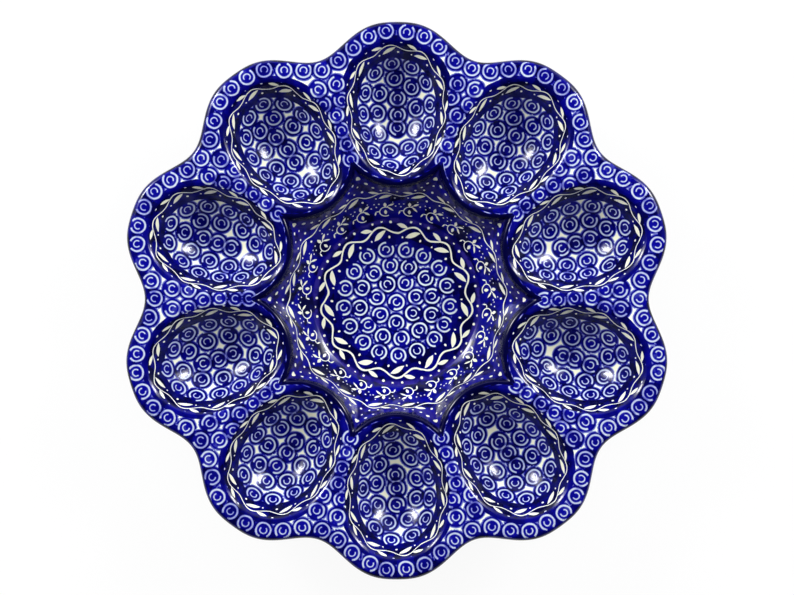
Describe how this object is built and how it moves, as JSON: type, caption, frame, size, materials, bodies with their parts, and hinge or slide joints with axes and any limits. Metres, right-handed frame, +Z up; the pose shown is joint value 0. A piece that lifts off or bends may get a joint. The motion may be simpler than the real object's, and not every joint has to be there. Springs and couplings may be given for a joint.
{
  "type": "egg platter",
  "caption": "Round glazed stoneware platter with a scalloped rim, oval egg wells in a ring and a central dip bowl with a star-shaped mouth, on a bare foot ring.",
  "frame": {"origin": "middle of the foot ring's flat underside, on the surface that the platter stands on", "axes": "+Z up out of the bowl along the platter's axis; +Y through the middle of one egg well"},
  "size_m": [0.2644, 0.2732, 0.038],
  "materials": {
    "cobalt_glaze": "clear gloss glaze over a stamped cobalt blue and cream folk pattern",
    "bare_clay": "unglazed fired stoneware, wiped smooth"
  },
  "bodies": {
    "root": {"platter_body": "cobalt_glaze", "foot_ring": "bare_clay"}
  },
  "joints": []
}
